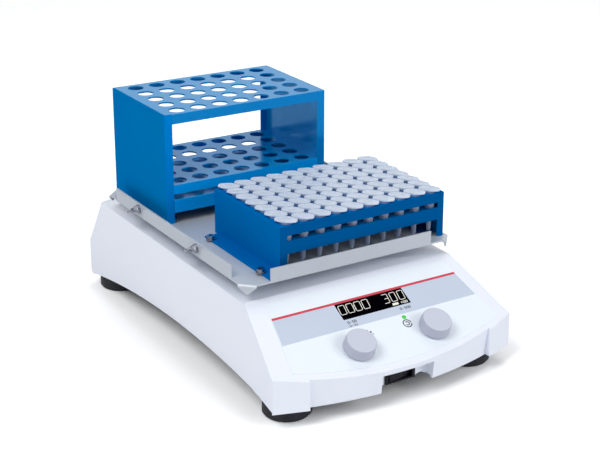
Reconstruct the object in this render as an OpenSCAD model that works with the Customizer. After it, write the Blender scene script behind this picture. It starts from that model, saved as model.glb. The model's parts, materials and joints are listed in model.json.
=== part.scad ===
// Digital orbital shaker with a sheet-metal platform, a tall rack for 16 mm
// tubes and a low rack with seventy closed 1.5 ml tubes.
// X to the right, Y to the back, Z up. Origin on the bench under the middle.

/* [Housing] */
// housing width over the side walls
housing_w = 258; // [220:1:300]
// height of the flat top
top_z = 87.5; // [75:0.5:100]
// height where the side walls start to lean
knee_z = 48.7; // [40:0.1:60]
// inward lean of the sides
lean = 16; // [5:0.5:20]
// back wall position
back_y = 204; // [190:1:215]
// width of each front leg
leg_w = 31.4; // [25:0.1:40]
// lower edge of the front legs
leg_front_z = 16.5; // [12:0.5:20]
// lower edge of the back legs
leg_back_z = 12.5; // [10:0.5:16]
// highest point of the arch under each side
arch_z = 34; // [25:0.5:40]
// where the control slope meets the top
crease_y = -106.7; // [-120:0.1:-95]
// slope of the control panel in degrees
slope_a = 26.77; // [20:0.01:35]
// shell thickness
wall = 3; // [2:0.1:4]

/* [Feet] */
// foot radius
foot_r = 22.2; // [14:0.1:23]
// front feet, across from the middle
foot_x = 99; // [90:0.5:104]
// back feet, across from the middle
foot_xb = 103; // [90:0.5:104]
// front feet
foot_yf = -157; // [-170:1:-140]
// back feet
foot_yb = 178; // [160:0.5:180]

/* [Drive] */
// orbit radius
orbit_r = 7.5; // [5:0.5:9.5]
// middle of the drive
drive_y = 36.2; // [30:0.1:45]
// motor axis
motor_y = 130; // [120:1:140]
// large pulley radius
pulley_r = 45; // [35:1:50]
// motor pulley radius
pinion_r = 15; // [10:1:20]

/* [Platform] */
// tray width
tray_w = 228.6; // [200:0.1:235]
// tray depth
tray_d = 295; // [260:1:300]
// top of the tray floor
floor_z = 104; // [100:0.5:110]
// flange height above the floor
flange_h = 12; // [8:0.5:16]
// tray sheet thickness
sheet = 1.6; // [1:0.1:2.5]
// corner cut of the tray floor
corner_cut = 12.4; // [8:0.1:16]
// gap between each flange end and the tray corner
flange_gap = 26.5; // [20:0.5:40]

/* [Tall rack] */
// left face
tall_x0 = -103.4; // [-110:0.1:-95]
// width
tall_w = 181; // [150:0.1:190]
// front face
tall_y0 = 63.2; // [55:0.1:70]
// depth
tall_d = 118; // [100:1:120]
// top above the bench
tall_top = 215; // [190:0.1:230]
// top of the middle shelf
mid_z = 143.2; // [135:0.1:155]
// top of the lower shelf
low_z = 128; // [120:0.1:132]
// hole diameter
tall_hole = 16; // [13:0.5:18]
// columns
tall_nx = 7; // [4:1:8]
// rows
tall_ny = 5; // [3:1:6]
// column pitch
tall_px = 23.5; // [20:0.1:25]
// row pitch
tall_py = 23.1; // [20:0.1:25]
// width of the folded corner posts
tall_post = 8.5; // [6:0.5:12]

/* [Low rack] */
// left face
low_x0 = -72.8; // [-80:0.1:-65]
// width
low_w = 182.4; // [150:0.1:184]
// front face
low_y0 = -100.8; // [-105:0.1:-95]
// depth
low_d = 122.5; // [100:0.5:130]
// top above the bench
low_top = 148.6; // [140:0.1:160]
// top of the middle plate
lmid_z = 133.3; // [125:0.1:138]
// pitch of the small tubes
tube_p = 17.7; // [15:0.1:20]
// columns
low_nx = 10; // [6:1:10]
// rows
low_ny = 7; // [4:1:7]
// width of the left corner posts
low_post_l = 8.3; // [6:0.1:12]
// width of the right corner posts
low_post_r = 6.5; // [5:0.1:12]

/* [Controls] */
// knob radius
knob_r = 14.6; // [10:0.1:16]
// knob height
knob_h = 10.4; // [8:0.1:14]
// left knob across
knob_lx = -37.8; // [-50:0.1:-30]
// right knob across
knob_rx = 44.4; // [30:0.1:50]
// knobs down the slope
knob_s = 78.5; // [70:0.1:85]
// display centre across
disp_x = 2.8; // [-5:0.1:5]
// status light across
led_x = 23.4; // [20:0.1:27]
// status light down the slope
led_s = 59; // [50:0.1:65]
// status light radius
led_r = 2.1; // [1.5:0.1:3]

/* [Hidden] */
$fn = 48;
hw = housing_w / 2;
leg_x = hw - leg_w;
ty = drive_y;
tx0 = -tray_w / 2;
tx1 = tray_w / 2;
ty0 = ty - tray_d / 2;
ty1 = ty + tray_d / 2;
apron_cy = 147.77;
apron_r0 = 346.8;
apron_r1 = 359.4;
apron_h = 96;
deck_z = 56;
deck_x = 110;
pan_z = 33;
pan_front_y = -174.4;
pan_back_y = 194;
pan_x = 118;
feet_at = [[-foot_x, foot_yf], [foot_x, foot_yf], [-foot_xb, foot_yb], [foot_xb, foot_yb]];
post_ys = [foot_yf + 26, foot_yb - 26];
pillar_x = 88;
pillar_ys = [-70, 162];
flange_x0 = tx0 + flange_gap;
flange_y0 = ty0 + flange_gap;
flange_y1 = ty1 - flange_gap;
fastener_ys = [-19, 104];
fastener_z = 110;
tray_screws_at = [[-50, ty - 80], [-50, ty + 60], [50, ty - 80], [50, ty + 60]];
idlers = [[-80, ty + 78], [80, ty + 78], [0, ty - 96]];
tube_x0 = low_x0 + (low_w - (low_nx - 1) * tube_p) / 2;
tube_y0 = low_y0 + 8.1;
low_foot_y0 = ty0 + sheet + 0.7;
low_foot_y1 = 14.5;
low_foot_screws = [low_foot_y0 + 17.5, low_foot_y1 - 10.5];
low_inner_screws = [tube_y0 + 1.5 * tube_p, tube_y0 + (low_ny - 2.5) * tube_p];
hole_x0 = tall_x0 + (tall_w - (tall_nx - 1) * tall_px) / 2;
hole_y0 = tall_y0 + (tall_d - (tall_ny - 1) * tall_py) / 2;
white = [0.94, 0.95, 0.97];
steel = [0.72, 0.74, 0.77];
dark = [0.12, 0.12, 0.13];
blue = [0.03, 0.38, 0.68];
grey = [0.55, 0.57, 0.6];

module box(x0, x1, y0, y1, z0, z1) {
  translate([x0, y0, z0]) cube([x1 - x0, y1 - y0, z1 - z0]);
}
module rod(x, y, z0, z1, r) {
  translate([x, y, z0]) cylinder(r = r, h = z1 - z0);
}
module on_slope(x, s, h) {
  translate([0, crease_y, top_z]) rotate([slope_a, 0, 0]) translate([x, -s, h])
    children();
}

// ---------- housing ----------
module legs_plan(t, z0, z1) {
  // t shrinks the plan to the inside of the shell
  outer_y = -183 + t * 0.9;
  inner_y = -193.6 + t * 1.4;
  translate([0, 0, z0]) linear_extrude(z1 - z0)
    polygon([[-hw + t, back_y - 7 - t], [-leg_x, back_y - t], [leg_x, back_y - t],
      [hw - t, back_y - 7 - t], [hw - t, outer_y], [leg_x + t, inner_y],
      [leg_x + t, -178 + t], [-leg_x - t, -178 + t], [-leg_x - t, inner_y],
      [-hw + t, outer_y]]);
}
module apron(t, z0, z1) {
  // bowed front between the legs, leaning forward
  intersection() {
    translate([0, apron_cy, 0])
      cylinder(r1 = apron_r0 - t, r2 = apron_r1 - t, h = apron_h, $fn = 360);
    box(-leg_x - 0.1 + t, leg_x + 0.1 - t, -240, -170, z0, z1);
  }
}
module side_profile(t) {
  sl = tan(slope_a);
  k = t / cos(slope_a);
  ck = crease_y + t * tan(slope_a / 2);
  rotate([90, 0, 90]) translate([0, 0, -hw - 5]) linear_extrude(housing_w + 10)
    polygon([[back_y + 5, -5], [back_y + 5, top_z - t], [ck, top_z - t],
      [-250, top_z - k - (crease_y + 250) * sl], [-250, -5]]);
}
module outer_form() {
  intersection() {
    difference() {
      union() {
        legs_plan(0, leg_back_z, 95);
        apron(0, leg_front_z, 95);
      }
      box(-200, 200, -250, -150, 0, leg_front_z);
    }
    side_profile(0);
    translate([0, 260, 0]) rotate([90, 0, 0]) linear_extrude(520)
      polygon([[-hw, -5], [-hw, knee_z], [-hw + lean, top_z - 1],
        [-hw + lean + 3, top_z], [hw - lean - 3, top_z], [hw - lean, top_z - 1],
        [hw, knee_z], [hw, -5]]);
  }
}
module inner_form() {
  intersection() {
    union() {
      legs_plan(wall, 5, 95);
      apron(wall, 5, 95);
    }
    side_profile(wall);
    translate([0, 260, 0]) rotate([90, 0, 0]) linear_extrude(520)
      polygon([[-hw + wall, -5], [-hw + wall, knee_z - 0.5],
        [-hw + lean + wall, top_z - 4.2], [-hw + lean + wall + 3, top_z - wall],
        [hw - lean - wall - 3, top_z - wall], [hw - lean - wall, top_z - 4.2],
        [hw - wall, knee_z - 0.5], [hw - wall, -5]]);
  }
}
module arch_cut() {
  // arched lower edge of both side walls: a long flat arc, tighter at the front
  long_r = 1111;
  front_r = 439;
  front_y = -67;
  intersection() {
    translate([0, -22, arch_z - long_r]) rotate([0, 90, 0])
      cylinder(r = long_r, h = 400, center = true, $fn = 720);
    union() {
      box(-200, 200, front_y, 196, 5, 60);
      translate([0, front_y, arch_z - front_r]) rotate([0, 90, 0])
        cylinder(r = front_r, h = 400, center = true, $fn = 540);
    }
    union() {
      box(-200, -60, -182.6, 190, 5, 60);
      box(60, 200, -182.6, 190, 5, 60);
    }
  }
}
module upper_housing() {
  color(white) {
    difference() {
      outer_form();
      inner_form();
      arch_cut();
      // openings under the platform
      rod(0, ty, 60, 100, 25);
      for (p = idlers) rod(p[0], p[1], 60, 100, 16);
      // switch recess
      box(-28.4, 27, -230, -190.2, 5, 34);
      // knob shafts and status light
      for (x = [knob_lx, knob_rx]) on_slope(x, knob_s, -8) cylinder(r = 4.7, h = 16);
      on_slope(led_x, led_s, -8) cylinder(r = led_r + 0.1, h = 16);
      on_slope(disp_x - 34, 44.2, -8) cube([68, 15.2, 16]);
      // mains inlet
      box(60, 87.2, back_y - 12, back_y + 5, 42, 62);
      // ventilation slots
      for (i = [0:7]) box(-90 + i * 12, -84 + i * 12, back_y - 12, back_y + 5, 40, 62);
    }
    // recess around the switch
    difference() {
      box(-30.4, 29, -224, -188.2, 18.2, 36);
      box(-28.4, 27, -260, -190.2, 5, 34);
      box(-17.5, 12.5, -200, -180, 17, 28.4);
      translate([20, -180, 13]) rotate([90, 0, 0]) cylinder(r = 7.4, h = 20);
      translate([0, apron_cy, 0]) difference() {
        cylinder(r = 420, h = apron_h);
        translate([0, 0, -1])
          cylinder(r1 = apron_r0 - 2, r2 = apron_r1 - 2.4, h = apron_h + 2, $fn = 360);
      }
    }
    // screw posts down to the base pan
    for (x = [-foot_x, foot_x]) for (y = post_ys)
      difference() {
        intersection() {
          rod(x, y, pan_z + 2, 90, 5);
          inner_form();
        }
        rod(x, y, 15, 52, 1.7);
      }
  }
}
module base_pan() {
  color(grey) difference() {
    union() {
      box(-pan_x, pan_x, pan_front_y, pan_back_y, pan_z, pan_z + 2);
      for (x = [-pan_x, pan_x - 1.6]) box(x, x + 1.6, -166, 186, pan_z + 2, pan_z + 9);
      for (p = feet_at) rod(p[0], p[1], 16.2, pan_z + 1, 11.2);
    }
    for (p = feet_at) rod(p[0], p[1], 10, 26, 2);
    for (x = [-foot_x, foot_x]) for (y = post_ys) rod(x, y, 10, 60, 2);
    for (i = [0:5]) box(-40 + i * 14, -34 + i * 14, -140, -80, 30, 40);
  }
}
module rubber_feet() {
  color(dark) for (p = feet_at) translate([p[0], p[1], 0])
    difference() {
      union() {
        cylinder(r1 = foot_r - 2, r2 = foot_r, h = 2.4);
        rod(0, 0, 2.4, 10, foot_r);
        translate([0, 0, 10]) cylinder(r1 = foot_r, r2 = foot_r - 4, h = 6.2);
      }
      rod(0, 0, -1, 6, 5);
      rod(0, 0, 4, 20, 2.1);
    }
}
module foot_screws() {
  // feet and housing screws share this node
  color(steel) {
    for (p = feet_at) {
      rod(p[0], p[1], 2.4, 5, 4.4);
      rod(p[0], p[1], 5, 25, 2);
    }
    for (x = [-foot_x, foot_x]) for (y = post_ys) {
      rod(x, y, pan_z - 2.2, pan_z, 3.6);
      rod(x, y, pan_z, pan_z + 16, 1.6);
    }
  }
}
module overlay_form(h0, h1, grow) {
  // bowed sheet on the slope, in slope coordinates
  on_slope(0, 0, 0) intersection() {
    translate([0, 0, h0]) linear_extrude(h1 - h0)
      polygon([[-95.5 - grow, -7.5 + grow], [100 + grow, -7.5 + grow],
        [114 + grow, -86], [114 + grow, -110], [-108.3 - grow, -110],
        [-108.3 - grow, -83]]);
    translate([3, 273, h0 - 1]) cylinder(r = 374.9 + grow, h = h1 - h0 + 2, $fn = 360);
  }
}
module panel_overlay() {
  color([0.96, 0.97, 0.99]) difference() {
    overlay_form(0, 0.5, 0);
    for (x = [knob_lx, knob_rx]) on_slope(x, knob_s, -2) cylinder(r = 5, h = 6);
    on_slope(led_x, led_s, -2) cylinder(r = led_r + 0.15, h = 6);
    on_slope(disp_x - 36.9, 45.3, -2) cube([73.8, 18.6, 6]);
  }
}
module display_window() {
  color([0.02, 0.02, 0.03]) on_slope(disp_x - 36.85, 45.25, 0) cube([73.7, 18.5, 0.6]);
}
module status_led() {
  color([0.1, 0.85, 0.2]) {
    on_slope(led_x, led_s, -3.2) cylinder(r = led_r, h = 3.9);
    on_slope(led_x, led_s, -12) cylinder(r = 1.2, h = 9);
  }
}
module switch_frame() {
  color(dark) difference() {
    union() {
      box(-17.3, 12.3, -190.2, -178, 18.5, 28.2);
      box(-18.6, 13.6, -192, -190.2, 18.2, 29);
    }
    box(-15.5, 10.5, -195, -181, 19.6, 27.2);
  }
  color(dark) rod(-2.5, -186.5, 19.5, 27.3, 1);
}
module power_rocker() {
  // rocks about an upright pin, one end pressed in
  color([0.07, 0.07, 0.08]) translate([-2.5, -188, 0]) difference() {
    translate([0, 0, 20.1]) linear_extrude(6.6)
      polygon([[-11.6, -3.9], [0, -3.2], [11.6, -0.6], [11.6, 0.8], [4, 5.2],
        [-4, 5.2], [-11.6, 0.2]]);
    translate([0, 1.5, 10]) cylinder(r = 1.05, h = 30);
  }
}
module power_inlet() {
  // flush in the back wall, held by a flange behind it
  color(dark) difference() {
    union() {
      box(60.2, 87, back_y - 24, back_y - 0.2, 42.2, 61.8);
      box(55, 92, back_y - 5, back_y - 3.02, 39, 65);
    }
    box(62.6, 84.6, back_y - 18, back_y + 5, 44.4, 59.4);
  }
  color(steel) for (x = [66.6, 73.6, 80.6])
    box(x - 1, x + 1, back_y - 18.2, back_y - 4, 50, 54);
}
module deck_plate() {
  color(steel) {
    difference() {
      box(-deck_x, deck_x, -80, 172, deck_z, deck_z + 3);
      rod(0, ty, 50, 65, 22.2);
      rod(0, motor_y, 50, 65, 8);
      for (p = idlers) rod(p[0], p[1], 50, 65, 11);
      for (x = [-pillar_x, pillar_x]) for (y = pillar_ys) rod(x, y, 50, 65, 1.7);
      for (x = [-foot_x, foot_x]) rod(x, post_ys[1], 50, 65, 6);
      for (a = [45:90:315]) rod(30 * cos(a), ty + 30 * sin(a), 50, 65, 1.7);
      for (a = [45:90:315]) rod(28 * cos(a), motor_y + 28 * sin(a), 50, 65, 1.7);
    }
    for (x = [-pillar_x, pillar_x]) for (y = pillar_ys) difference() {
      rod(x, y, pan_z + 2, deck_z, 6);
      rod(x, y, 46, 60, 1.7);
    }
  }
}
module deck_screws() {
  color(steel) {
    for (x = [-pillar_x, pillar_x]) for (y = pillar_ys) {
      rod(x, y, 48, 59, 1.6);
      rod(x, y, 59, 61.4, 3.6);
    }
    for (a = [45:90:315]) {
      rod(30 * cos(a), ty + 30 * sin(a), 55, 62, 1.5);
      rod(30 * cos(a), ty + 30 * sin(a), 62, 64, 2.8);
      rod(28 * cos(a), motor_y + 28 * sin(a), 54, 59, 1.5);
      rod(28 * cos(a), motor_y + 28 * sin(a), 53.9, 56, 2.8);
    }
  }
}
module bearing_housing() {
  color([0.62, 0.64, 0.66]) difference() {
    union() {
      rod(0, ty, 47, 72, 22);
      rod(0, ty, 59, 62, 36);
    }
    rod(0, ty, 46, 55, 17);
    rod(0, ty, 64, 80, 17);
    rod(0, ty, 40, 80, 13);
    for (a = [45:90:315]) rod(30 * cos(a), ty + 30 * sin(a), 50, 65, 1.6);
  }
}
module ball_ring(x, y, z0, z1, ro, ri) {
  difference() {
    rod(x, y, z0, z1, ro);
    rod(x, y, z0 - 1, z1 + 1, ri);
  }
}
module main_bearings() {
  color(steel) {
    ball_ring(0, ty, 48, 55, 17, 7.55);
    ball_ring(0, ty, 64, 71, 17, 7.55);
  }
}
module idler_bearings() {
  color(steel) for (p = idlers) {
    ball_ring(p[0], p[1], 52, 60, 11, 4.05);
    ball_ring(p[0], p[1], 59, 60, 13, 10.9);
  }
}
module motor_body() {
  color([0.2, 0.21, 0.23]) difference() {
    union() {
      rod(0, motor_y, 59, 80, 36);
      rod(0, motor_y, 53, 59, 8);
    }
    rod(0, motor_y, 50, 76, 4.05);
    rod(0, motor_y, 62, 68, 6.2);
    for (a = [45:90:315]) rod(28 * cos(a), motor_y + 28 * sin(a), 55, 70, 1.6);
  }
}
module motor_pulley() {
  color(steel) {
    rod(0, motor_y, 36, 75, 4);
    rod(0, motor_y, 62.4, 67.6, 5.8);
    rod(0, motor_y, 36, 37.2, pinion_r + 1.5);
    rod(0, motor_y, 37.2, 46.8, pinion_r);
    rod(0, motor_y, 46.8, 48, pinion_r + 1.5);
  }
}
module drive_belt() {
  d = motor_y - ty;
  a = asin((pulley_r - pinion_r) / d);
  color([0.08, 0.08, 0.08]) difference() {
    union() {
      rod(0, ty, 38, 46, pulley_r + 2.4);
      rod(0, motor_y, 38, 46, pinion_r + 2.4);
      translate([0, 0, 38]) linear_extrude(8) polygon([
        [(pinion_r + 2.4) * cos(a), motor_y + (pinion_r + 2.4) * sin(a)],
        [(pulley_r + 2.4) * cos(a), ty + (pulley_r + 2.4) * sin(a)],
        [-(pulley_r + 2.4) * cos(a), ty + (pulley_r + 2.4) * sin(a)],
        [-(pinion_r + 2.4) * cos(a), motor_y + (pinion_r + 2.4) * sin(a)]]);
    }
    rod(0, ty, 30, 50, pulley_r + 0.4);
    rod(0, motor_y, 30, 50, pinion_r + 0.4);
    translate([0, 0, 30]) linear_extrude(20) polygon([
      [(pinion_r + 0.4) * cos(a), motor_y + (pinion_r + 0.4) * sin(a)],
      [(pulley_r + 0.4) * cos(a), ty + (pulley_r + 0.4) * sin(a)],
      [-(pulley_r + 0.4) * cos(a), ty + (pulley_r + 0.4) * sin(a)],
      [-(pinion_r + 0.4) * cos(a), motor_y + (pinion_r + 0.4) * sin(a)]]);
  }
}
module crank_shaft() {
  // main shaft, eccentric web, counterweight and crank pin in one turning
  color(steel) {
    rod(0, ty, 36, 74, 7.5);
    rod(0, ty, 74, 75, 11);
    difference() {
      union() {
        rod(0, ty, 75, 82, 20);
        intersection() {
          rod(0, ty, 75, 82, 38);
          box(-60, -8, ty - 30, ty + 30, 70, 90);
        }
      }
      rod(-28, ty, 70, 90, 2.5);
    }
    rod(orbit_r, ty, 82, 97.6, 6);
  }
}
module drive_pulley() {
  color(grey) difference() {
    union() {
      rod(0, ty, 36, 37.2, pulley_r + 1.5);
      rod(0, ty, 37.2, 46, pulley_r);
    }
    rod(0, ty, 30, 50, 7.5);
    for (a = [0:60:300]) rod(27 * cos(a), ty + 27 * sin(a), 30, 50, 8);
  }
}
module idler_crank(i) {
  p = idlers[i];
  color(steel) {
    rod(p[0], p[1], 50, 76, 4);
    rod(p[0], p[1], 60.4, 61.4, 6);
    rod(p[0] + orbit_r / 2, p[1], 76, 82, 14);
    rod(p[0] + orbit_r, p[1], 82, 97.6, 4);
  }
}
module carriage_plate() {
  color(steel) difference() {
    union() {
      box(orbit_r - 86, orbit_r + 86, ty - 112, ty + 94, 98.4, 102.4);
      rod(orbit_r, ty, 90.4, 98.4, 20);
      for (p = idlers) rod(p[0] + orbit_r, p[1], 90.4, 98.4, 14);
    }
    rod(orbit_r, ty, 80, 97.9, 14);
    for (p = idlers) rod(p[0] + orbit_r, p[1], 80, 97.9, 11);
    for (p = tray_screws_at) rod(p[0], p[1], 90, 105, 1.7);
    for (x = [-50, 50]) rod(orbit_r + x, ty, 90, 105, 18);
    for (p = rack_holes()) rod(p[0], p[1], 90, 105, 3.8);
  }
}
module platform_bearings() {
  color(steel) {
    ball_ring(orbit_r, ty, 90.9, 97.9, 14, 6.05);
    for (p = idlers) ball_ring(p[0] + orbit_r, p[1], 90.9, 97.9, 11, 4.05);
  }
}
module corner_tab() {
  // folded down over a round bend; x along the bend, y outward, z up
  bend = 2.4;
  inset = 0.4;
  bend_w = corner_cut / sqrt(2) - 0.1;
  tip_w = 2.6;
  tip_r = 3.2;
  intersection() {
    translate([-bend_w, 0, -bend]) rotate([0, 90, 0]) cylinder(r = bend, h = 2 * bend_w);
    translate([-bend_w, -inset, -bend]) cube([2 * bend_w, bend + inset, bend]);
  }
  translate([0, bend, -bend]) rotate([90, 0, 0]) {
    linear_extrude(sheet) polygon([[-bend_w, 0], [bend_w, 0], [tip_w, -5], [-tip_w, -5]]);
    translate([0, -tip_r - 0.2, 0]) cylinder(r = tip_r, h = sheet);
  }
}
module tray() {
  z0 = floor_z - sheet;
  c = corner_cut;
  color([0.78, 0.8, 0.83]) difference() {
    union() {
      translate([0, 0, z0]) linear_extrude(sheet) polygon([
        [tx0, ty0 + c], [tx0 + c, ty0], [tx1 - c, ty0], [tx1, ty0 + c],
        [tx1, ty1 - c], [tx1 - c, ty1], [tx0 + c, ty1], [tx0, ty1 - c]]);
      for (x = [tx0, tx1 - sheet])
        box(x, x + sheet, flange_y0, flange_y1, z0, floor_z + flange_h);
      for (y = [ty0, ty1 - sheet])
        box(flange_x0, -flange_x0, y, y + sheet, z0, floor_z + flange_h);
      for (sx = [-1, 1]) for (sy = [-1, 1])
        translate([sx * (tx1 - c / 2), ty + sy * (tray_d / 2 - c / 2), floor_z])
          rotate([0, 0, atan2(sy, sx) - 90]) corner_tab();
    }
    for (p = tray_screws_at) rod(p[0], p[1], 90, 110, 1.7);
    for (y = fastener_ys) for (x = [tx0, tx1])
      translate([x, y, fastener_z]) rotate([0, 90, 0]) cylinder(r = 2.2, h = 8, center = true);
    for (p = rack_holes()) rod(p[0], p[1], 100, 110, 1.7);
  }
}
module tray_screws() {
  color(steel) for (p = tray_screws_at) {
    rod(p[0], p[1], floor_z, floor_z + 2.2, 3.8);
    rod(p[0], p[1], 97, floor_z, 1.6);
  }
}
module wing_nut() {
  // z points at the sheet, the nut ends at z = 0
  translate([0, 0, -1.2]) cylinder(r = 4.6, h = 1.2);
  translate([0, 0, -5.4]) cylinder(r1 = 2.9, r2 = 4, h = 4.2);
  for (a = [65, 245]) rotate([0, 0, a]) {
    translate([2.2, -1, -7]) cube([6, 2, 4.4]);
    translate([8.4, 1, -6.2]) rotate([90, 0, 0]) cylinder(r = 3.2, h = 2);
  }
}
module flange_fasteners() {
  // screw through each side flange, held outside by a wing nut
  color(steel) for (y = fastener_ys) for (m = [0, 1]) mirror([m, 0, 0])
    translate([tx0, y, fastener_z]) rotate([0, 90, 0]) {
      wing_nut();
      translate([0, 0, -8.4]) cylinder(r = 2, h = 12.8);
      translate([0, 0, sheet]) cylinder(r = 3.9, h = 2.2);
    }
}
function rack_holes() = [
  [tall_x0 + 11, tall_y0 + 20], [tall_x0 + 11, tall_y0 + tall_d - 20],
  [tall_x0 + tall_w - 11, tall_y0 + 20], [tall_x0 + tall_w - 11, tall_y0 + tall_d - 20],
  [low_x0 - 14, low_foot_screws[0]], [low_x0 - 14, low_foot_screws[1]],
  [low_x0 + low_w - 10, low_inner_screws[0]], [low_x0 + low_w - 10, low_inner_screws[1]]];

// ---------- tall rack ----------
module tall_end(x, s) {
  // end panel at x, its posts and foot turned inward: s = 1 to the right, -1 to the left
  y1 = tall_y0 + tall_d;
  foot_w = 16;
  wall_x = min(x, x + s * sheet);
  post_x = min(x, x + s * tall_post);
  foot_x0 = min(x, x + s * foot_w);
  box(wall_x, wall_x + sheet, tall_y0, y1, floor_z, tall_top);
  for (y = [tall_y0, y1 - sheet])
    box(post_x, post_x + tall_post, y, y + sheet, floor_z, tall_top);
  difference() {
    box(foot_x0, foot_x0 + foot_w, tall_y0 + 10, y1 - 10, floor_z, floor_z + sheet);
    for (p = rack_holes()) rod(p[0], p[1], 100, 110, 2);
  }
}
module tall_left_end() {
  color(blue) tall_end(tall_x0, 1);
}
module tall_right_end() {
  color(blue) tall_end(tall_x0 + tall_w, -1);
}
module tall_holes(z0, z1) {
  for (i = [0:tall_nx - 1]) for (j = [0:tall_ny - 1])
    rod(hole_x0 + i * tall_px, hole_y0 + j * tall_py, z0, z1, tall_hole / 2);
}
module tall_plate(zt, fl) {
  x0 = tall_x0;
  x1 = tall_x0 + tall_w;
  y1 = tall_y0 + tall_d;
  box(x0 + sheet, x1 - sheet, tall_y0 + sheet, y1 - sheet, zt - sheet, zt);
  for (y = [tall_y0, y1 - sheet])
    box(x0 + tall_post, x1 - tall_post, y, y + sheet, zt - fl, zt);
}
module tall_top_plate() {
  color(blue) difference() {
    tall_plate(tall_top, 10);
    tall_holes(tall_top - 5, tall_top + 5);
  }
}
module tall_middle_shelf() {
  color(blue) difference() {
    tall_plate(mid_z, 9.5);
    tall_holes(mid_z - 5, mid_z + 5);
  }
}
module tall_bottom_shelf() {
  color(blue) tall_plate(low_z, 13.6);
}

// ---------- low rack ----------
module low_left_end() {
  color(blue) {
    y1 = low_y0 + low_d;
    box(low_x0, low_x0 + sheet, low_y0, y1, floor_z, low_top);
    for (y = [low_y0, y1 - sheet])
      box(low_x0, low_x0 + low_post_l, y, y + sheet, floor_z, low_top);
    // long foot with an open slot for each screw
    difference() {
      box(low_x0 - 15, low_x0, low_foot_y0, low_foot_y1, floor_z, floor_z + sheet);
      for (y = low_foot_screws) rod(low_x0 - 14, y, 100, 110, 2);
    }
  }
}
module low_right_end() {
  color(blue) {
    x = low_x0 + low_w;
    y1 = low_y0 + low_d;
    box(x - sheet, x, low_y0, y1, floor_z, low_top);
    for (y = [low_y0, y1 - sheet]) box(x - low_post_r, x, y, y + sheet, floor_z, low_top);
    difference() {
      box(x - 16, x, low_y0 + 14, y1 - 14, floor_z, floor_z + sheet);
      for (p = rack_holes()) rod(p[0], p[1], 100, 110, 2);
    }
  }
}
module low_plate(zt, fl, r) {
  x0 = low_x0;
  x1 = low_x0 + low_w;
  y1 = low_y0 + low_d;
  difference() {
    union() {
      box(x0 + sheet, x1 - sheet, low_y0 + sheet, y1 - sheet, zt - sheet, zt);
      for (y = [low_y0, y1 - sheet])
        box(x0 + low_post_l, x1 - low_post_r, y, y + sheet, zt - fl, zt);
    }
    for (i = [0:low_nx - 1]) for (j = [0:low_ny - 1])
      rod(tube_x0 + i * tube_p, tube_y0 + j * tube_p, zt - 5, zt + 5, r);
  }
}
module low_top_plate() {
  color(blue) low_plate(low_top, 9.6, 5.6);
}
module low_middle_plate() {
  color(blue) low_plate(lmid_z, 11.7, 5.6);
}
module rack_screws() {
  // washer, socket head, shank and thin nut for each rack foot
  top = floor_z + sheet;
  color(steel) for (p = rack_holes()) {
    rod(p[0], p[1], top, top + 0.8, 4.7);
    difference() {
      rod(p[0], p[1], top + 0.8, top + 4, 3.8);
      rod(p[0], p[1], top + 2.2, top + 5, 1.9);
    }
    rod(p[0], p[1], floor_z - 3.6, top, 1.6);
    rod(p[0], p[1], floor_z - sheet - 1.6, floor_z - sheet, 3);
  }
}

// ---------- small tubes ----------
module tube() {
  // outline turned about the upright axis, rim resting on the plate
  rotate_extrude() polygon([[0, -39.9], [1.1, -39.6], [1.9, -38.8], [2.2, -37.4],
    [3.15, -27], [5.2, -13], [5.3, 0], [6.1, 0], [6.1, 1.6], [4.5, 1.6],
    [4.4, -13], [2.4, -27], [1.5, -37], [0, -38.6]]);
}
module tube_row(j) {
  color([0.85, 0.88, 0.93, 0.6]) for (i = [0:low_nx - 1])
    translate([tube_x0 + i * tube_p, tube_y0 + j * tube_p, low_top + 0.02]) tube();
}
module cap() {
  // push-in cap with two finger tabs on one slanting line
  half_l = 10.5;
  half_w = 6.6;
  side_r = 16;
  difference() {
    union() {
      cylinder(r = 6.4, h = 2.2);
      rotate([0, 0, -46]) translate([0, 0, 0.4]) intersection() {
        translate([0, side_r - half_w, 0]) cylinder(r = side_r, h = 1.4);
        translate([0, half_w - side_r, 0]) cylinder(r = side_r, h = 1.4);
        cylinder(r = half_l, h = 1.4);
      }
      translate([0, 0, -2.6]) cylinder(r = 4.3, h = 2.7);
    }
    translate([0, 0, 1.7]) cylinder(r = 4.8, h = 2);
    translate([0, 0, -4]) cylinder(r = 3.3, h = 4.8);
  }
}
module cap_row(j) {
  color([0.88, 0.91, 0.96, 0.8]) for (i = [0:low_nx - 1])
    translate([tube_x0 + i * tube_p, tube_y0 + j * tube_p, low_top + 1.7]) cap();
}

// ---------- knobs ----------
module encoder_bodies() {
  color([0.25, 0.27, 0.3]) for (x = [knob_lx, knob_rx]) on_slope(x, knob_s, 0)
    difference() {
      union() {
        translate([-7, -7, -12]) cube([14, 14, 8]);
        translate([0, 0, -4]) cylinder(r = 4.5, h = 4);
      }
      translate([0, 0, -20]) cylinder(r = 3.5, h = 30);
      translate([0, 0, -10.5]) cylinder(r = 5.2, h = 4.1);
    }
}
module rotor(x) {
  color([0.75, 0.62, 0.3]) on_slope(x, knob_s, 0) difference() {
    union() {
      translate([0, 0, -11.5]) cylinder(r = 3.45, h = 11.2);
      translate([0, 0, -10.15]) cylinder(r = 4.85, h = 3.4);
    }
    translate([0, 0, -20]) cylinder(r = 2.05, h = 30);
  }
}
module knob(x) {
  color([0.74, 0.75, 0.8]) on_slope(x, knob_s, 0) {
    translate([0, 0, -10.5]) cylinder(r = 2, h = 13);
    translate([0, 0, 1.8]) cylinder(r = knob_r + 0.1, h = 2);
    translate([0, 0, 3.8]) cylinder(r1 = knob_r + 0.1, r2 = knob_r - 0.7, h = knob_h - 2.5);
    translate([0, 0, knob_h + 1.3]) cylinder(r1 = knob_r - 0.7, r2 = knob_r - 1.1, h = 0.5);
  }
}
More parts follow.
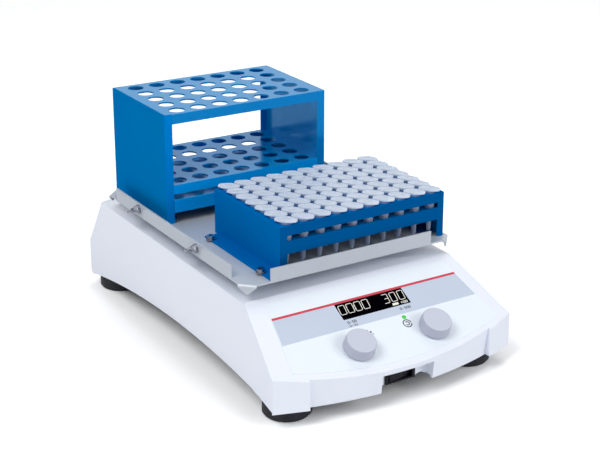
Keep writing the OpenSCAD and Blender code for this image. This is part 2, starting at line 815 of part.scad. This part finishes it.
module control_board() {
  color([0.05, 0.35, 0.2]) on_slope(-70, 92, -13.6) cube([146, 68, 1.6]);
  color(dark) on_slope(disp_x - 33, 43.6, -12) cube([66, 14, 11.9]);
}
module power_supply() {
  board_top = pan_z + 3.6;
  color([0.7, 0.7, 0.68]) box(-104, -62, 20, 78, pan_z + 2, board_top);
  color([0.2, 0.2, 0.22]) box(-98, -78, 28, 58, board_top, 54);
  color([0.75, 0.6, 0.15]) box(-76, -66, 32, 68, board_top, 50);
}

upper_housing();
base_pan();
rubber_feet();
foot_screws();
panel_overlay();
display_window();
status_led();
switch_frame();
power_rocker();
power_inlet();
deck_plate();
deck_screws();
bearing_housing();
main_bearings();
idler_bearings();
motor_body();
drive_belt();
control_board();
encoder_bodies();
power_supply();
motor_pulley();
crank_shaft();
drive_pulley();
idler_crank(0);  // idler_crank_1
idler_crank(1);  // idler_crank_2
idler_crank(2);  // idler_crank_3
carriage_plate();
platform_bearings();
tray();
tray_screws();
flange_fasteners();
tall_left_end();
tall_right_end();
tall_top_plate();
tall_middle_shelf();
tall_bottom_shelf();
low_left_end();
low_right_end();
low_top_plate();
low_middle_plate();
rack_screws();
tube_row(0);  // tube_row_1
tube_row(1);  // tube_row_2
tube_row(2);  // tube_row_3
tube_row(3);  // tube_row_4
tube_row(4);  // tube_row_5
tube_row(5);  // tube_row_6
tube_row(6);  // tube_row_7
cap_row(0);  // cap_row_1
cap_row(1);  // cap_row_2
cap_row(2);  // cap_row_3
cap_row(3);  // cap_row_4
cap_row(4);  // cap_row_5
cap_row(5);  // cap_row_6
cap_row(6);  // cap_row_7
rotor(knob_lx);  // timer_rotor
rotor(knob_rx);  // speed_rotor
knob(knob_lx);  // timer_knob
knob(knob_rx);  // speed_knob
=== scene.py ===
"""Looks of the orbital shaker: camera, materials, rounded edges, panel print, floor and light."""

import json
import math

import bmesh
import bpy
from mathutils import Matrix, Vector


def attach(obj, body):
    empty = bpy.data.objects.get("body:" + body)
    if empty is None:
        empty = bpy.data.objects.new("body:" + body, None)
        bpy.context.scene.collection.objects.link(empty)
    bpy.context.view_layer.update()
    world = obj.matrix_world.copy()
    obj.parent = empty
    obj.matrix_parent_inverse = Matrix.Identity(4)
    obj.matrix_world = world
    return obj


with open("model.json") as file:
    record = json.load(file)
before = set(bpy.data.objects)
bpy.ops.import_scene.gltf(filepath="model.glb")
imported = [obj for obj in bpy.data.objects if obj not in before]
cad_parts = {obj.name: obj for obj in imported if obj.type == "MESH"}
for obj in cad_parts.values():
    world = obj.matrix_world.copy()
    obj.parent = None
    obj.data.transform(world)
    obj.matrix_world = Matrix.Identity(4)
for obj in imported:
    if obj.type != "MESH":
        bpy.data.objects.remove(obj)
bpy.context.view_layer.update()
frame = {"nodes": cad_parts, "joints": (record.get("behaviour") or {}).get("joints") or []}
NODES = frame["nodes"]
JOINTS = {j["name"]: j for j in frame["joints"]}
MM = 0.001
# Colour sockets of a Mix node: the first and the second colour, and the result.
MIX_FIRST, MIX_SECOND, MIX_RESULT = 6, 7, 2

# ---------------------------------------------------------------- camera
# Where the camera stands, its heading, tilt and roll. Its focal length and the shift of the
# picture's centre are in pixels of a picture this wide.
CAM_PLACE = Vector((-0.6650, -1.1092, 0.5990))
CAM_HEADING = math.radians(34.30)
CAM_TILT = math.radians(17.75)
CAM_ROLL = math.radians(0.907)
IMAGE_W = 600
FOCAL_PX = 1407.3
CENTRE_SHIFT_PX = (69.86, -78.36)
SENSOR = 36.0


def make_camera():
    look = Vector((math.sin(CAM_HEADING) * math.cos(CAM_TILT),
                   math.cos(CAM_HEADING) * math.cos(CAM_TILT), -math.sin(CAM_TILT)))
    level = Vector((math.cos(CAM_HEADING), -math.sin(CAM_HEADING), 0))
    upright = level.cross(look)
    right = level * math.cos(CAM_ROLL) + upright * math.sin(CAM_ROLL)
    up = right.cross(look)
    data = bpy.data.cameras.new("camera")
    data.sensor_width = SENSOR
    data.lens = FOCAL_PX * SENSOR / IMAGE_W
    data.shift_x = -CENTRE_SHIFT_PX[0] / IMAGE_W
    data.shift_y = CENTRE_SHIFT_PX[1] / IMAGE_W
    camera = bpy.data.objects.new("camera", data)
    turn = Matrix((right, up, -look)).transposed().to_4x4()
    camera.matrix_world = Matrix.Translation(CAM_PLACE) @ turn
    bpy.context.collection.objects.link(camera)
    bpy.context.scene.camera = camera


# ---------------------------------------------------------------- materials
# The standard curve between a colour on screen and linear light.
SRGB_KNEE = 0.04045
SRGB_SLOPE = 12.92
SRGB_LIFT = 0.055
SRGB_POWER = 2.4
NOISE_DETAIL = 3
# How square to an axis a face is, as a cosine, where its painted light or shade colour starts and
# where it is full.
SQUARE_START, SQUARE_FULL = 0.93, 0.99
# The racks' cut sheet edges face along this axis, and faces square to it get painted light or shade in
# the racks' colours; the panel and the knobs' tops face along the other.
PAINTED_LIGHT_AXIS = (0, 1, 0)
PANEL_UP = Vector(JOINTS["timer_turn"]["axis"]).normalized()


def srgb(red, green, blue):
    """A colour as it shows on screen, 0 to 255, turned into linear light."""
    out = []
    for level in (red, green, blue):
        level /= 255
        if level <= SRGB_KNEE:
            out.append(level / SRGB_SLOPE)
        else:
            out.append(((level + SRGB_LIFT) / (1 + SRGB_LIFT)) ** SRGB_POWER)
    return (*out, 1)


class Surface:
    """A material with its shader, and helpers that hang detail on it."""

    def __init__(self, name, colour, rough, **sockets):
        self.mat = bpy.data.materials.new(name)
        self.mat.use_nodes = True
        self.tree = self.mat.node_tree
        self.shader = self.tree.nodes["Principled BSDF"]
        self.colour = srgb(*colour)
        self.shader.inputs["Base Color"].default_value = self.colour
        self.shader.inputs["Roughness"].default_value = rough
        for key, value in sockets.items():
            self.shader.inputs[key.replace("_", " ")].default_value = value

    def node(self, kind, **values):
        """Adds a node; each value sets its property or, failing that, its socket."""
        made = self.tree.nodes.new(kind)
        for key, value in values.items():
            if hasattr(made, key):
                setattr(made, key, value)
            else:
                made.inputs[key.replace("_", " ")].default_value = value
        return made

    def link(self, out, into):
        self.tree.links.new(out, into)

    def noise(self, scale, stretch=(1, 1, 1)):
        """Soft random waves in the object's own space."""
        place = self.node("ShaderNodeTexCoord")
        turn = self.node("ShaderNodeMapping", Scale=stretch)
        wave = self.node("ShaderNodeTexNoise", Scale=scale, Detail=NOISE_DETAIL)
        self.link(place.outputs["Object"], turn.inputs["Vector"])
        self.link(turn.outputs["Vector"], wave.inputs["Vector"])
        return wave.outputs["Fac"]

    def spread(self, value, low, high):
        """Stretches waves of 0 to 1 over another range."""
        ramp = self.node("ShaderNodeMapRange", To_Min=low, To_Max=high)
        self.link(value, ramp.inputs["Value"])
        return ramp.outputs["Result"]

    def vary_colour(self, other, scale, stretch=(1, 1, 1)):
        """Drifts between the base colour and another one, in waves of this scale."""
        mix = self.node("ShaderNodeMix", data_type="RGBA")
        mix.inputs[MIX_FIRST].default_value = self.colour
        mix.inputs[MIX_SECOND].default_value = srgb(*other)
        self.link(self.spread(self.noise(scale, stretch), 0, 1), mix.inputs[0])
        self.link(mix.outputs[MIX_RESULT], self.shader.inputs["Base Color"])
        return self

    def facing(self, axis, other):
        """Gives the faces square to this axis another colour, after any vary_colour: painted light or
        shade by the way a face turns.
        """
        face = self.node("ShaderNodeNewGeometry")
        along = self.node("ShaderNodeVectorMath", operation="DOT_PRODUCT")
        either_way = self.node("ShaderNodeMath", operation="ABSOLUTE")
        amount = self.node("ShaderNodeMapRange", From_Min=SQUARE_START, From_Max=SQUARE_FULL)
        mix = self.node("ShaderNodeMix", data_type="RGBA")
        self.link(face.outputs["True Normal"], along.inputs[0])
        along.inputs[1].default_value = axis
        self.link(along.outputs["Value"], either_way.inputs[0])
        self.link(either_way.outputs[0], amount.inputs["Value"])
        self.link(amount.outputs["Result"], mix.inputs[0])
        self.link(self.shader.inputs["Base Color"].links[0].from_socket, mix.inputs[MIX_FIRST])
        mix.inputs[MIX_SECOND].default_value = srgb(*other)
        self.link(mix.outputs[MIX_RESULT], self.shader.inputs["Base Color"])
        return self

    def vary_rough(self, low, high, scale):
        """Drifts between two roughnesses, in waves of this scale."""
        self.link(self.spread(self.noise(scale), low, high), self.shader.inputs["Roughness"])
        return self

    def grain(self, scale, strength, distance, stretch=(1, 1, 1)):
        """Fine relief with this scale and strength, its depth in metres."""
        bump = self.node("ShaderNodeBump", Strength=strength, Distance=distance)
        self.link(self.noise(scale, stretch), bump.inputs["Height"])
        self.link(bump.outputs["Normal"], self.shader.inputs["Normal"])
        return self


def make_surfaces():
    """All materials by name. Colours are written as they show on screen."""
    made = {}

    def add(name, colour, rough, **sockets):
        made[name] = Surface(name, colour, rough, **sockets)
        return made[name]

    add("shell_white", (241, 245, 255), 0.36, Coat_Weight=0.12, Coat_Roughness=0.2) \
        .vary_colour((237, 242, 254), 9).vary_rough(0.32, 0.42, 60).grain(1400, 0.05, 0.0002)
    add("panel_white", (240, 248, 255), 0.42) \
        .vary_colour((237, 246, 255), 14).vary_rough(0.38, 0.48, 90).grain(2600, 0.06, 0.0001)
    add("print_red", (212, 52, 76), 0.4).vary_colour((204, 46, 68), 40).grain(2600, 0.05, 0.0001)
    add("print_grey", (200, 211, 229), 0.42).vary_colour((196, 207, 226), 25).grain(2600, 0.05, 0.0001)
    add("print_dark", (78, 80, 96), 0.45).vary_colour((66, 68, 84), 60).grain(2600, 0.05, 0.0001)
    add("digits", (226, 224, 216), 0.4, Emission_Color=srgb(236, 233, 224),
        Emission_Strength=0.25).vary_colour((216, 213, 205), 80)
    add("display_black", (5, 5, 8), 0.3, Specular_IOR_Level=0.0).vary_colour((2, 2, 5), 30) \
        .vary_rough(0.25, 0.35, 40)
    add("led_green", (44, 178, 54), 0.25, Emission_Color=srgb(40, 200, 50),
        Emission_Strength=0.25).vary_colour((64, 205, 74), 300)
    # The knobs' tops are painted lighter than their sides, as painted light.
    add("knob_grey", (184, 187, 203), 0.48).vary_colour((178, 181, 198), 50) \
        .facing(PANEL_UP, (202, 206, 222)) \
        .vary_rough(0.42, 0.55, 120).grain(3000, 0.12, 0.0001)
    add("rubber_black", (22, 22, 34), 0.62).vary_colour((15, 15, 26), 60) \
        .vary_rough(0.5, 0.75, 90).grain(900, 0.25, 0.0003)
    add("switch_black", (20, 18, 30), 0.38, Specular_IOR_Level=0.2) \
        .vary_colour((13, 12, 21), 90).grain(2600, 0.1, 0.0001)
    add("tray_metal", (197, 204, 212), 0.42, Metallic=0.2) \
        .vary_colour((190, 197, 206), 26, stretch=(1, 0.12, 1)).vary_rough(0.34, 0.5, 70) \
        .grain(1500, 0.06, 0.0002, stretch=(1, 0.05, 1))
    add("chrome", (168, 169, 176), 0.14, Metallic=1.0).vary_colour((128, 130, 140), 160) \
        .vary_rough(0.08, 0.2, 200)
    add("steel_grey", (168, 172, 180), 0.32, Metallic=0.9).vary_colour((150, 155, 164), 60) \
        .vary_rough(0.25, 0.45, 90).grain(1600, 0.05, 0.0002)
    add("cast_metal", (150, 153, 158), 0.55, Metallic=0.6).vary_colour((132, 136, 142), 50) \
        .grain(700, 0.25, 0.0004)
    blue_sheen = srgb(0, 130, 255)
    # The tall rack's left end: the same blue sheet as its right end, painted darker as shade on that
    # side, with its front and back faces painted lighter as painted light.
    add("rack_blue", (0, 125, 191), 0.2, Metallic=0.12, Specular_IOR_Level=0.0,
        Specular_Tint=blue_sheen).vary_colour((0, 120, 186), 18).facing(PAINTED_LIGHT_AXIS, (0, 134, 218)) \
        .vary_rough(0.16, 0.26, 45).grain(420, 0.04, 0.0004)
    # The second colour of each pair is painted on the faces square to the axis, front and back: a
    # little darker on the top plate and right end, lighter on the shelves, as painted shade and light.
    for name, painted_light_colour in (("rack_top_blue", (0, 133, 207)), ("rack_shelf_blue", (0, 163, 252))):
        add(name, (0, 142, 206), 0.16, Metallic=0.15, Specular_IOR_Level=0.4,
            Specular_Tint=srgb(120, 210, 255)) \
            .vary_colour((0, 137, 201), 18).facing(PAINTED_LIGHT_AXIS, painted_light_colour) \
            .vary_rough(0.12, 0.2, 45).grain(420, 0.03, 0.0004)
    # The low rack's front and back faces are painted darker, as painted shade.
    add("rack_deep_blue", (0, 116, 190), 0.22, Metallic=0.12, Specular_IOR_Level=0.0,
        Specular_Tint=blue_sheen).vary_colour((0, 111, 185), 18).facing(PAINTED_LIGHT_AXIS, (0, 90, 157)) \
        .vary_rough(0.18, 0.28, 45).grain(420, 0.04, 0.0004)
    add("tube_clear", (198, 212, 236), 0.16, Transmission_Weight=0.6, IOR=1.38) \
        .vary_colour((190, 206, 232), 160).vary_rough(0.1, 0.22, 300)
    add("cap_clear", (210, 223, 245), 0.34, Subsurface_Weight=0.8,
        Subsurface_Radius=(1.0, 1.0, 1.0), Subsurface_Scale=0.004) \
        .vary_colour((200, 214, 240), 130).vary_rough(0.3, 0.45, 260).grain(1800, 0.08, 0.0002)
    add("pan_dark", (58, 60, 64), 0.5, Metallic=0.3).vary_colour((50, 52, 56), 30) \
        .grain(1200, 0.1, 0.0002)
    add("plastic_dark", (28, 28, 31), 0.45).vary_colour((22, 22, 25), 60).grain(1500, 0.1, 0.0002)
    add("board_green", (26, 84, 52), 0.45).vary_colour((20, 72, 44), 80).grain(800, 0.1, 0.0002)
    add("brass", (196, 164, 96), 0.3, Metallic=1.0).vary_colour((182, 150, 84), 90) \
        .vary_rough(0.22, 0.4, 120)
    add("belt_black", (24, 24, 25), 0.7).vary_colour((18, 18, 19), 70).grain(900, 0.2, 0.0003)
    return made


NODE_SURFACE = {
    "upper_housing": "shell_white", "base_pan": "pan_dark", "rubber_feet": "rubber_black",
    "foot_screws": "steel_grey", "panel_overlay": "panel_white",
    "display_window": "display_black", "status_led": "led_green",
    "switch_frame": "switch_black", "power_rocker": "switch_black",
    "power_inlet": "plastic_dark", "deck_plate": "steel_grey", "deck_screws": "steel_grey",
    "bearing_housing": "cast_metal", "main_bearings": "steel_grey",
    "idler_bearings": "steel_grey", "motor_body": "pan_dark", "drive_belt": "belt_black",
    "control_board": "board_green", "encoder_bodies": "plastic_dark",
    "power_supply": "board_green", "motor_pulley": "steel_grey", "crank_shaft": "steel_grey",
    "drive_pulley": "cast_metal", "carriage_plate": "cast_metal",
    "platform_bearings": "steel_grey", "tray": "tray_metal", "tray_screws": "steel_grey",
    "flange_fasteners": "chrome", "rack_screws": "chrome", "timer_rotor": "brass",
    "speed_rotor": "brass", "timer_knob": "knob_grey", "speed_knob": "knob_grey",
    "tall_top_plate": "rack_top_blue", "tall_right_end": "rack_top_blue",
}
PREFIX_SURFACE = {"idler_crank": "steel_grey", "tall_left_end": "rack_blue",
                  "tall_": "rack_shelf_blue", "low_": "rack_deep_blue",
                  "tube_row": "tube_clear", "cap_row": "cap_clear"}


def dress_nodes(surfaces):
    """Gives each CAD node its material, by its name or by the start of its name."""
    for name, node in NODES.items():
        kind = NODE_SURFACE.get(name)
        if kind is None:
            kind = next(k for p, k in PREFIX_SURFACE.items() if name.startswith(p))
        node.data.materials.clear()
        node.data.materials.append(surfaces[kind].mat)


# ---------------------------------------------------------------- edges
# The nodes whose edges are rounded, and how wide in mm.
EDGE_MM = {"upper_housing": 1.6, "tray": 0.5, "timer_knob": 0.25, "speed_knob": 0.25,
           "tall_left_end": 0.9, "tall_right_end": 0.9, "tall_top_plate": 0.9,
           "tall_middle_shelf": 0.9, "tall_bottom_shelf": 0.7, "low_left_end": 0.8,
           "low_right_end": 0.8, "low_top_plate": 0.5, "low_middle_plate": 0.5}
# Edges that turn by more than this are rounded, once faces that turn by less than the second
# angle have been joined.
SHARP = math.radians(32)
NEARLY_FLAT = math.radians(0.4)
WELD_GAP = 0.01 * MM
EDGE_STEPS = 3
FLAT_FACE_WEIGHT = 90


def round_edges(name, width):
    """Rounds a node's edges with modifiers, which leave its own mesh alone."""
    node = NODES[name]
    weld = node.modifiers.new("weld", "WELD")
    weld.merge_threshold = WELD_GAP
    flat = node.modifiers.new("flat", "DECIMATE")
    flat.decimate_type = "DISSOLVE"
    flat.angle_limit = NEARLY_FLAT
    bevel = node.modifiers.new("bevel", "BEVEL")
    bevel.width = width * MM
    bevel.segments = EDGE_STEPS
    bevel.limit_method = "ANGLE"
    bevel.angle_limit = SHARP
    bevel.use_clamp_overlap = True
    flat_first = node.modifiers.new("flat_first", "WEIGHTED_NORMAL")
    flat_first.keep_sharp = True
    flat_first.weight = FLAT_FACE_WEIGHT


def smooth_nodes():
    """Shades every node smooth and rounds the edges of those in the list."""
    for name, node in NODES.items():
        node.data.polygons.foreach_set("use_smooth", [True] * len(node.data.polygons))
        if name in EDGE_MM:
            round_edges(name, EDGE_MM[name])


# ---------------------------------------------------------------- panel print
# The print is placed in mm: x across the panel, s down it from its top crease, h above it.
# The knobs sit at KNOB_S, which ties the print to the frame.
KNOB_S = 78.5
KNOB_PLACE = JOINTS["timer_turn"]["pos_m"]
PANEL_DOWN = Vector((0, -PANEL_UP.z, PANEL_UP.y))
PANEL_START = Vector((0, KNOB_PLACE[1], KNOB_PLACE[2])) - PANEL_DOWN * (KNOB_S * MM)
# How high the film, the display's window and one layer of print stand.
FILM_MM = 0.5
WINDOW_MM = 0.6
PRINT_MM = 0.06


def on_panel(x, s, h):
    """The point in the frame for a place on the panel."""
    return PANEL_START + Vector((x * MM, 0, 0)) + PANEL_DOWN * (s * MM) + PANEL_UP * (h * MM)


def new_piece(name, verts, faces, surface, body):
    """Makes an object with one material that moves with a body."""
    mesh = bpy.data.meshes.new(name)
    mesh.from_pydata([tuple(v) for v in verts], [], faces)
    mesh.validate()
    thing = bpy.data.objects.new(name, mesh)
    bpy.context.collection.objects.link(thing)
    mesh.materials.append(surface.mat)
    bm = bmesh.new()
    bm.from_mesh(mesh)
    bmesh.ops.recalc_face_normals(bm, faces=bm.faces)
    bm.to_mesh(mesh)
    bm.free()
    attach(thing, body)


def slab(verts, faces, outline, low, high):
    """Adds one closed flat print with this outline in panel coordinates."""
    first = len(verts)
    count = len(outline)
    for h in (low, high):
        verts.extend(on_panel(x, s, h) for x, s in outline)
    faces.append(tuple(first + i for i in range(count))[::-1])
    faces.append(tuple(first + count + i for i in range(count)))
    for i in range(count):
        j = (i + 1) % count
        faces.append((first + i, first + j, first + count + j, first + count + i))


# A stroke's corner is wider than the stroke by at most one over this.
CORNER_LIMIT = 0.5
TOO_SHORT = 1e-6


def stroke(verts, faces, path, width, low, high, closed):
    """Adds a line of this width along a path in panel coordinates."""
    count = len(path)
    first = len(verts)
    sides = []
    for i, (x, s) in enumerate(path):
        before = path[i - 1] if closed or i else path[i]
        after = path[(i + 1) % count] if closed or i < count - 1 else path[i]
        along = Vector((after[0] - before[0], after[1] - before[1])).normalized()
        arriving = Vector((x - before[0], s - before[1]))
        leaving = Vector((after[0] - x, after[1] - s))
        widen = 1.0
        if arriving.length > TOO_SHORT and leaving.length > TOO_SHORT:
            widen = 1 / max(CORNER_LIMIT, math.cos(arriving.angle(leaving) / 2))
        out = Vector((-along.y, along.x)) * (width / 2 * widen)
        sides.append((out.x, out.y))
    for h in (low, high):
        for sign in (-1, 1):
            verts.extend(on_panel(x + sign * a, s + sign * b, h)
                         for (x, s), (a, b) in zip(path, sides))
    steps = count if closed else count - 1
    for i in range(steps):
        j = (i + 1) % count
        a, b, c, d = (first + k * count for k in range(4))
        faces.extend([(a + i, a + j, b + j, b + i), (c + i, d + i, d + j, c + j),
                      (a + i, c + i, c + j, a + j), (b + i, b + j, d + j, d + i)])
    if not closed:
        for i in (0, count - 1):
            faces.append((first + i, first + count + i, first + 3 * count + i,
                          first + 2 * count + i))


def arc(x, s, radius, start, end, steps):
    """Points of an arc on the panel, angles in degrees, 0 towards +X and 90 up the slope."""
    turns = (math.radians(start + (end - start) * i / steps) for i in range(steps + 1))
    return [(x + radius * math.cos(t), s - radius * math.sin(t)) for t in turns]


# The film's sides at its top, and how far each leans outwards for each mm down the panel.
FILM_TOP = 7.5
FILM_LEFT, LEFT_LEAN = -95.2, -11.8 / 74
FILM_RIGHT, RIGHT_LEAN = 99.7, 14 / 78.5
BAND_TOP, BAND_BOTTOM = 25.8, 55.0
LINE_TOP, LINE_BOTTOM = 24.2, 26.7
WINDOW_MIDDLE = 2.8
WINDOW_HALF = 36.9
WINDOW_BOTTOM = 45.4


def film_left(s):
    return FILM_LEFT + LEFT_LEAN * (s - FILM_TOP)


def film_right(s):
    return FILM_RIGHT + RIGHT_LEAN * (s - FILM_TOP)


def panel_lines(surfaces):
    """The red line, and the grey band that leaves the display's window free."""
    low, high = FILM_MM, FILM_MM + PRINT_MM
    verts, faces = [], []
    slab(verts, faces, [(film_left(LINE_TOP), LINE_TOP), (film_right(LINE_TOP), LINE_TOP),
                        (film_right(LINE_BOTTOM), LINE_BOTTOM),
                        (film_left(LINE_BOTTOM), LINE_BOTTOM)], low, high + PRINT_MM)
    new_piece("panel_line", verts, faces, surfaces["print_red"], "base")
    verts, faces = [], []
    left, right = WINDOW_MIDDLE - WINDOW_HALF, WINDOW_MIDDLE + WINDOW_HALF
    slab(verts, faces, [(film_left(BAND_TOP), BAND_TOP), (left, BAND_TOP),
                        (left, WINDOW_BOTTOM), (right, WINDOW_BOTTOM), (right, BAND_TOP),
                        (film_right(BAND_TOP), BAND_TOP),
                        (film_right(BAND_BOTTOM), BAND_BOTTOM),
                        (film_left(BAND_BOTTOM), BAND_BOTTOM)], low, high)
    new_piece("panel_band", verts, faces, surfaces["print_grey"], "base")


# Strokes of the digits on a grid one unit wide and one unit tall, from the top left.
DIGIT_PATHS = {
    "0": ([(0.12, 0), (0.88, 0), (1, 0.07), (1, 0.93), (0.88, 1), (0.12, 1), (0, 0.93),
           (0, 0.07)], True),
    "3": ([(0.05, 0), (0.88, 0), (1, 0.07), (1, 0.93), (0.88, 1), (0.05, 1)], False),
    "bar": ([(0.3, 0.5), (0.97, 0.5)], False),
    "1": ([(0.2, 0.22), (0.55, 0), (0.55, 1)], False),
    "2": ([(0, 0.12), (0.2, 0), (0.8, 0), (1, 0.2), (0.95, 0.42), (0, 1), (1, 1)], False),
    "5": ([(1, 0), (0.1, 0), (0.05, 0.42), (0.75, 0.42), (1, 0.6), (1, 0.84), (0.8, 1),
           (0, 1)], False),
    "-": ([(0.1, 0.5), (0.9, 0.5)], False),
}


def write(verts, faces, text, place, size, pitch, width, low, high, slant=0.0):
    """Adds digits from this top left corner, with this size, pitch and stroke width."""
    x, s = place
    wide, tall = size
    for mark in text:
        for part in ((mark, "bar") if mark == "3" else (mark,)):
            path, closed = DIGIT_PATHS[part]
            stroke(verts, faces, [(x + a * wide - slant * b * tall, s + b * tall)
                                  for a, b in path], width, low, high, closed)
        x += pitch


# The display: text, left end, width and pitch of its digits. All share the other sizes.
DISPLAY_TEXT = (("0000", -31.8, 6.3, 8.37), ("300", 15.5, 5.8, 8.55))
DIGIT_TOP, DIGIT_TALL = 29.2, 10.3
DIGIT_WIDTH = 0.58
DIGIT_SLANT = 0.13
COLON = ((-16.8, 0), (-15.9, 0), (-16.0, 1), (-16.9, 1))
COLON_TOPS = (32.6, 35.8)
UNIT_BAR = ((21.0, 41.3), (27.4, 41.3), (27.0, 43.9), (20.6, 43.9))
# Small figures: text, top left corner, size, pitch and stroke width. The first is in the
# display, the others are beside the knobs.
UNIT_TEXT = ("100", (29.8, 41.7), (1.9, 2.1), 2.7, 0.5)
SMALL_TEXT = (("0-500", (25.2, 48.2), (1.6, 2.3), 2.4, 0.5),
              ("0-50", (-32.0, 48.0), (1.6, 2.3), 2.4, 0.55),
              ("0-20", (-32.0, 52.2), (1.4, 1.8), 2.2, 0.35))
# The ring mark: radius, first and last angle, steps and stroke width of each arc.
RING_PLACE = (22.6, 66.4)
RING_ARCS = ((4.1, 0, 345, 40, 1.0), (1.9, -150, 130, 24, 0.9))
# Dots beside the timer knob: place and radius. A dot is drawn as an arc of this many steps,
# which its straight last side closes.
DOTS = ((-16.6, 64.9, 0.95), (-18.8, 62.4, 0.5), (-15.4, 67.7, 0.5))
DOT_END, DOT_STEPS = 330, 11


def display_digits(surfaces):
    """Two groups of digits, the colon, and the small bar and figures under them."""
    low, high = WINDOW_MM, WINDOW_MM + PRINT_MM
    verts, faces = [], []
    for text, x, wide, pitch in DISPLAY_TEXT:
        write(verts, faces, text, (x, DIGIT_TOP), (wide, DIGIT_TALL), pitch, DIGIT_WIDTH,
              low, high, DIGIT_SLANT)
    for top in COLON_TOPS:
        slab(verts, faces, [(x, top + drop) for x, drop in COLON], low, high)
    slab(verts, faces, UNIT_BAR, low, high)
    write(verts, faces, *UNIT_TEXT, low, high)
    new_piece("display_digits", verts, faces, surfaces["digits"], "base")


def panel_marks(surfaces):
    """Small generic figures, the ring mark and the dots beside the knobs."""
    film, low, high = FILM_MM, FILM_MM + PRINT_MM, FILM_MM + 2 * PRINT_MM
    verts, faces = [], []
    for figures in SMALL_TEXT:
        write(verts, faces, *figures, low, high)
    for radius, start, end, steps, width in RING_ARCS:
        stroke(verts, faces, arc(*RING_PLACE, radius, start, end, steps), width, film, high, False)
    for x, s, radius in DOTS:
        slab(verts, faces, arc(x, s, radius, 0, DOT_END, DOT_STEPS), film, high)
    new_piece("panel_marks", verts, faces, surfaces["print_dark"], "base")


# ---------------------------------------------------------------- stage
FLOOR_HALF = 1.6
FLOOR_LIT = (0.93, 0.94, 0.96, 1)
# The camera sees the floor as this, so that it looks white and keeps the object's shadow.
FLOOR_SEEN = (1.45, 1.45, 1.45, 1)
WORLD_LIT = (0.97, 0.985, 1.0, 1)
WORLD_STRENGTH = 0.34
WHITE = (1, 1, 1, 1)
LAMP_AIM = Vector((0, 0, 0.1))
# Soft round lamps: place, width in metres and power in watts.
LAMPS = {"key": ((-2.4, -0.8, 3.1), 2.1, 69), "front": ((1.9, -3.0, 1.9), 2.1, 50),
         "top": ((1.0, 0.8, 3.6), 1.8, 16)}


def make_floor():
    size = FLOOR_HALF
    mesh = bpy.data.meshes.new("floor")
    mesh.from_pydata([(-size, -size, 0), (size, -size, 0), (size, size, 0), (-size, size, 0)],
                     [], [(0, 1, 2, 3)])
    floor = bpy.data.objects.new("floor", mesh)
    bpy.context.collection.objects.link(floor)
    mat = bpy.data.materials.new("floor")
    mat.use_nodes = True
    tree = mat.node_tree
    tree.nodes.clear()
    out = tree.nodes.new("ShaderNodeOutputMaterial")
    pale = tree.nodes.new("ShaderNodeBsdfDiffuse")
    rays = tree.nodes.new("ShaderNodeLightPath")
    mix = tree.nodes.new("ShaderNodeMix")
    mix.data_type = "RGBA"
    mix.inputs[MIX_FIRST].default_value = FLOOR_LIT
    mix.inputs[MIX_SECOND].default_value = FLOOR_SEEN
    tree.links.new(rays.outputs["Is Camera Ray"], mix.inputs[0])
    tree.links.new(mix.outputs[MIX_RESULT], pale.inputs["Color"])
    tree.links.new(pale.outputs["BSDF"], out.inputs["Surface"])
    mesh.materials.append(mat)


def make_world():
    """A soft pale surround that the camera, gloss and glass see as white."""
    world = bpy.data.worlds.new("studio")
    bpy.context.scene.world = world
    world.use_nodes = True
    tree = world.node_tree
    tree.nodes.clear()
    out = tree.nodes.new("ShaderNodeOutputWorld")
    lit = tree.nodes.new("ShaderNodeBackground")
    lit.inputs["Color"].default_value = WORLD_LIT
    lit.inputs["Strength"].default_value = WORLD_STRENGTH
    seen = tree.nodes.new("ShaderNodeBackground")
    seen.inputs["Color"].default_value = WHITE
    seen.inputs["Strength"].default_value = 1
    rays = tree.nodes.new("ShaderNodeLightPath")
    direct = rays.outputs["Is Camera Ray"]
    for kind in ("Is Glossy Ray", "Is Transmission Ray"):
        either = tree.nodes.new("ShaderNodeMath")
        either.operation = "MAXIMUM"
        tree.links.new(direct, either.inputs[0])
        tree.links.new(rays.outputs[kind], either.inputs[1])
        direct = either.outputs[0]
    mix = tree.nodes.new("ShaderNodeMixShader")
    tree.links.new(direct, mix.inputs[0])
    tree.links.new(lit.outputs[0], mix.inputs[1])
    tree.links.new(seen.outputs[0], mix.inputs[2])
    tree.links.new(mix.outputs[0], out.inputs["Surface"])


def make_lights():
    for name, (place, size, power) in LAMPS.items():
        data = bpy.data.lights.new(name, "AREA")
        data.shape = "DISK"
        data.size = size
        data.energy = power
        lamp = bpy.data.objects.new(name, data)
        lamp.location = place
        lamp.rotation_mode = "QUATERNION"
        lamp.rotation_quaternion = (LAMP_AIM - Vector(place)).to_track_quat("-Z", "Y")
        bpy.context.collection.objects.link(lamp)


bpy.context.scene.view_settings.view_transform = "Standard"
make_camera()
make_world()
make_floor()
make_lights()
SURFACES = make_surfaces()
dress_nodes(SURFACES)
smooth_nodes()
panel_lines(SURFACES)
display_digits(SURFACES)
panel_marks(SURFACES)
